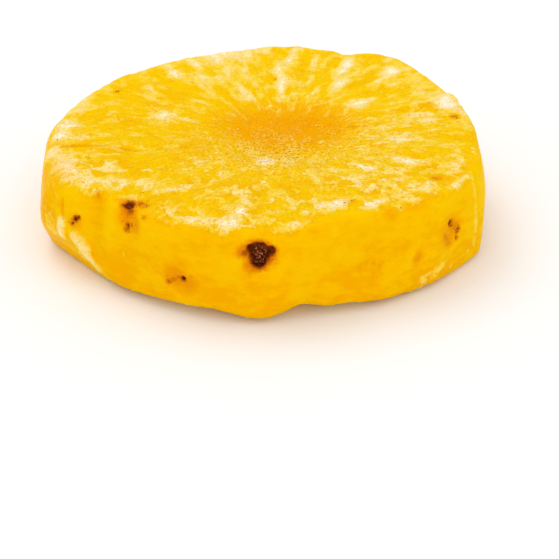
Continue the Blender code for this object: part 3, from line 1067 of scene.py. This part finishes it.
points = read(flesh.data, "co") / MM  # the relief has moved them
shreds = linked("eye_shreds", shred_points())
print("places for shreds:", len(shreds.data.vertices))

# %% [markdown]
# ### The shreds themselves
#
# Each point gets a small stretched pebble, turned at random. The pebbles are realized before noise
# crumples them, or else all of them would be crumpled alike.

# %% Shreds
PEBBLE_FACES = 80


def shred_tree(material):
    bench, spots, size = start_tree("Shreds", ("Crumple",))
    pebble = bench.add("GeometryNodeMeshIcoSphere", {}, {"Radius": 0.5, "Subdivisions": 2})
    turn = chance(bench, (0.0, 0.0, 0.0), (FULL_TURN, FULL_TURN, FULL_TURN), seed=4)
    shape = chance(bench, (0.35, 0.35, 0.8), (0.7, 0.7, 1.6), seed=8)
    placed = strewn(bench, spots, pebble, turn, bench.scaled(shape, stored(bench, "size")))
    real = bench.add("GeometryNodeRealizeInstances", {}, {"Geometry": placed})
    noise = bench.noise(bench.add("GeometryNodeInputPosition"), 2200.0, out="Color")
    offset = bench.scaled(bench.shifted(noise, (-0.5, -0.5, -0.5)), size["Crumple"])
    crumpled = bench.add("GeometryNodeSetPosition", {}, {"Geometry": real, "Offset": offset})
    return end_tree(bench, crumpled, material)


def shred_material():
    material = bpy.data.materials.new("brown_shred")
    bench, shader = shader_bench(material)
    tone = bench.noise(object_place(bench), 1300.0, 1.0)
    bench.blend(bench.ease(0.3, 0.6, tone), BARK, UMBER).feed(shader.inputs["Base Color"])
    preset(shader, {"Roughness": 0.8, "Specular IOR Level": 0.02})
    return material


run_tree(shreds, shred_tree(shred_material()), {"Crumple": 0.2 * MM})
print("shreds:", len(shreds.data.polygons) // PEBBLE_FACES)

# %% [markdown]
# ## Joining the frame
#
# All three pieces ride on the solid's body. The fine mesh stands in for the solid, which stays behind for
# collision only.

# %% Ride and replace
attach(flesh, "root")
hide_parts("pineapple_slice")
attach(grains, "root")
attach(shreds, "root")
print("riding on the body:", flesh.name, grains.name, shreds.name)

# %% [markdown]
# ## Floor
#
# The slice lies on a wide pale floor, as on a white studio table. The floor is stage and no part of the
# slice.

# %% Floor
FLOOR_HALF = 3.0  # metres
FLOOR_LEVEL = -0.05 * MM  # a hair below the resting face, so that the two don't flicker


def pale_floor():
    mesh = bpy.data.meshes.new("floor")
    way_round = ((-1, -1), (1, -1), (1, 1), (-1, 1))
    corners = [(x * FLOOR_HALF, y * FLOOR_HALF, FLOOR_LEVEL) for x, y in way_round]
    mesh.from_pydata(corners, [], [(0, 1, 2, 3)])
    material = bpy.data.materials.new("pale_floor")
    preset(shader_bench(material)[1], {"Base Color": shade(253, 253, 253), "Roughness": 0.8})
    mesh.materials.append(material)
    return linked("floor", mesh)


pale_floor()
print("floor laid,", 2 * FLOOR_HALF, "m wide")

# %% [markdown]
# ### Light
#
# An even pale sky keeps the shadows faint, but alone it would light every side alike and flatten the
# form. One large lamp from the left and far side makes the face a little brighter than the wall, and a
# weaker one in front keeps the wall's deep yellow from turning brown.

# %% Light
SKY = 0.85
LAMPS = (  # name, place, size and power
    ("window", (-0.5, 0.5, 1.3), 0.9, 4.5),
    ("front_fill", (0.3, -1.3, 0.6), 0.8, 2.8),
)
AIM = (0, 0, 10 * MM)  # the middle of the slice

scene = bpy.context.scene
scene.view_settings.view_transform = "Standard"
world = bpy.data.worlds.new("sky")
world.use_nodes = True
preset(world.node_tree.nodes["Background"], {"Color": (1, 1, 1, 1), "Strength": SKY})
scene.world = world
for name, place, size, power in LAMPS:
    light = bpy.data.lights.new(name, "AREA")
    light.size = size
    light.energy = power
    lamp = linked(name, light)
    lamp.location = place
    lamp.rotation_euler = (Vector(AIM) - lamp.location).to_track_quat("-Z", "Y").to_euler()
print("lamps:", len(LAMPS), "sky:", SKY)

# %% [markdown]
# ### Camera
#
# The camera stands where the photographer's did: in front and above, looking down on the slice through a
# long lens. How flat the top edge's oval looks gives the tilt.

# %% Camera
CAMERA_PLACE = (0.00296, -0.36959, 0.19325)  # metres
CAMERA_TILT = 29.47  # degrees below level
VIEW_WIDTH = 16.0  # degrees
FILM_WIDTH = 36.0  # millimetres
NEAREST = 0.01  # metres

lens = bpy.data.cameras.new("camera")
lens.sensor_width = FILM_WIDTH
lens.lens = FILM_WIDTH / 2 / math.tan(math.radians(VIEW_WIDTH / 2))
lens.clip_start = NEAREST
camera = linked("camera", lens)
camera.location = CAMERA_PLACE
camera.rotation_euler = (math.radians(90 - CAMERA_TILT), 0, 0)
scene.camera = camera
print("lens:", round(lens.lens, 1), "mm")

# %% [markdown]
# ## The end
